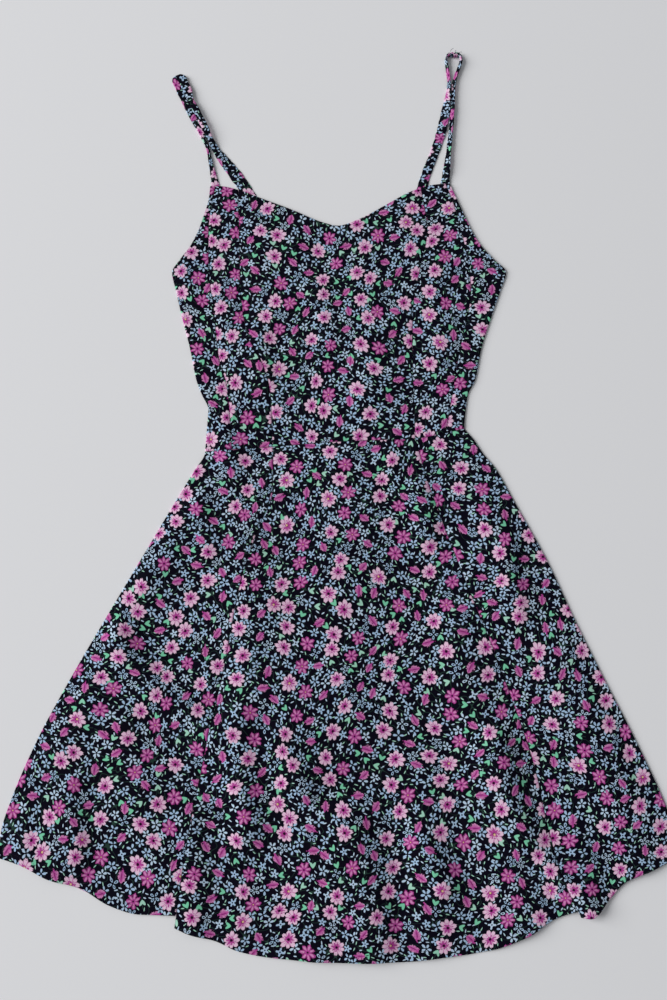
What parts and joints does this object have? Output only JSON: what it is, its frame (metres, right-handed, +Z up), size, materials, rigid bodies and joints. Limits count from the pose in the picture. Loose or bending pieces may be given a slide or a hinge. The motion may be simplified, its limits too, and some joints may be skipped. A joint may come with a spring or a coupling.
{
  "type": "sundress",
  "caption": "Sleeveless flared sundress with two narrow straps, laid flat on its back, front on top of back, with a dipped neckline and panelled skirt.",
  "frame": {"origin": "on the surface under the middle of the laid dress: the bottom centre of its bounding box", "axes": "+Z up from the surface it lies on, +Y along the dress from the hem to the straps, +X across it to the right as seen from above"},
  "size_m": [0.755, 1.07, 0.0105],
  "materials": {
    "printed_cloth": "soft matt woven cloth, near-black with a small all-over print of pink, magenta, pale blue and green flowers"
  },
  "bodies": {
    "root": {"bodice_front_centre": "printed_cloth", "bodice_front_left": "printed_cloth", "bodice_front_right": "printed_cloth", "bodice_side_left": "printed_cloth", "bodice_side_right": "printed_cloth", "bodice_back": "printed_cloth", "skirt_front_centre": "printed_cloth", "skirt_front_left": "printed_cloth", "skirt_front_right": "printed_cloth", "skirt_back": "printed_cloth", "strap_left": "printed_cloth", "strap_right": "printed_cloth"}
  },
  "joints": []
}
